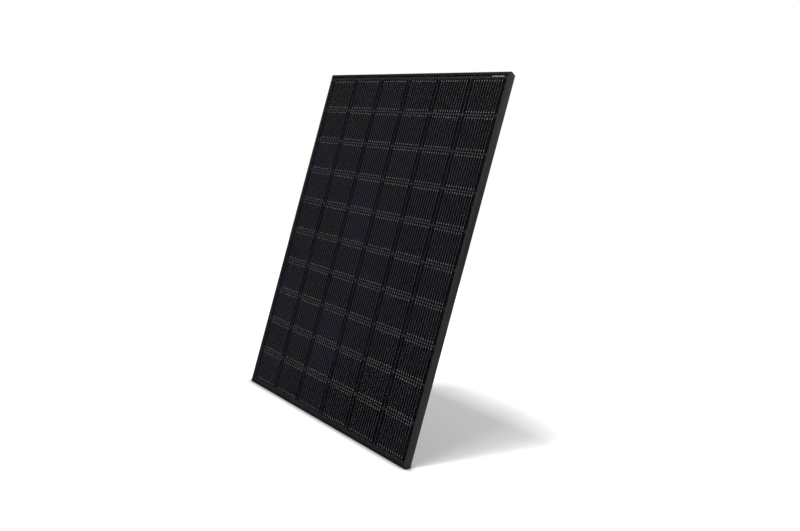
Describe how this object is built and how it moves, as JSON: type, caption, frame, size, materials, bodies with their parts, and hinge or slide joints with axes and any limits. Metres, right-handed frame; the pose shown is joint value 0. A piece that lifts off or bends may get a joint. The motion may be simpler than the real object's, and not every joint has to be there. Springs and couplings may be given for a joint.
{
  "type": "framed photovoltaic solar module",
  "caption": "Flat black solar module: dark cells wired in strings behind glass, in a hollow metal frame with rear mounting flanges and a junction box with a lift-off lid.",
  "frame": {"origin": "centre of the rear mounting plane, where the frame's rear flanges rest on a rack; it is the centre of the grounding hole pattern", "axes": "+Z along the long side, towards the junction box end; +Y out of the back, so the glass faces -Y; +X across the short side, to the right of someone who looks at the glass"},
  "size_m": [1.016, 0.04, 1.686],
  "materials": {
    "frame_black": "black anodised, satin",
    "key_metal": "die-cast",
    "sealant": "matte black silicone",
    "glass": "tempered, anti-reflective, lightly textured",
    "encapsulant": "clear laminated sheet",
    "cell": "dark monocrystalline silicon",
    "wire": "tinned copper wire",
    "ribbon": "tinned copper",
    "backsheet": "black polymer film",
    "insulator": "black film",
    "box_plastic": "fine moulded texture",
    "soft_seal": "soft elastomer",
    "terminal": "stamped, tinned",
    "diode": "moulded epoxy",
    "label": "printed film with no printing"
  },
  "bodies": {
    "module": {"frame_left": "frame_black", "frame_right": "frame_black", "frame_top": "frame_black", "frame_bottom": "frame_black", "corner_key_top_left": "key_metal", "corner_key_top_right": "key_metal", "corner_key_bottom_left": "key_metal", "corner_key_bottom_right": "key_metal", "edge_sealant": "sealant", "box_adhesive": "sealant", "front_glass": "glass", "front_encapsulant": "encapsulant", "rear_encapsulant": "encapsulant", "cell_string_1": "cell", "cell_string_2": "cell", "cell_string_3": "cell", "cell_string_4": "cell", "cell_string_5": "cell", "cell_string_6": "cell", "string_wires_1": "wire", "string_wires_2": "wire", "string_wires_3": "wire", "string_wires_4": "wire", "string_wires_5": "wire", "string_wires_6": "wire", "top_ribbon_outer_left": "ribbon", "top_ribbon_inner_left": "ribbon", "top_ribbon_inner_right": "ribbon", "top_ribbon_outer_right": "ribbon", "bottom_ribbon_left": "ribbon", "bottom_ribbon_middle": "ribbon", "bottom_ribbon_right": "ribbon", "lead_foil_1": "ribbon", "lead_foil_2": "ribbon", "lead_foil_3": "ribbon", "lead_foil_4": "ribbon", "backsheet": "backsheet", "lead_insulator": "insulator", "box_base": "box_plastic", "gland_body_left": "box_plastic", "gland_body_right": "box_plastic", "gland_nut_left": "box_plastic", "gland_nut_right": "box_plastic", "gland_seal_left": "soft_seal", "gland_seal_right": "soft_seal", "terminal_rail_1": "terminal", "terminal_rail_2": "terminal", "terminal_rail_3": "terminal", "terminal_rail_4": "terminal", "bypass_diode_1": "diode", "bypass_diode_2": "diode", "bypass_diode_3": "diode", "rating_label": "label"},
    "junction_box_lid": {"box_lid": "box_plastic", "box_gasket": "soft_seal"}
  },
  "joints": [
    {"name": "box_lid_lift", "type": "slide", "parent": "module", "child": "junction_box_lid", "axis": [0, 1, 0], "range_m": [0, 0.05]}
  ]
}
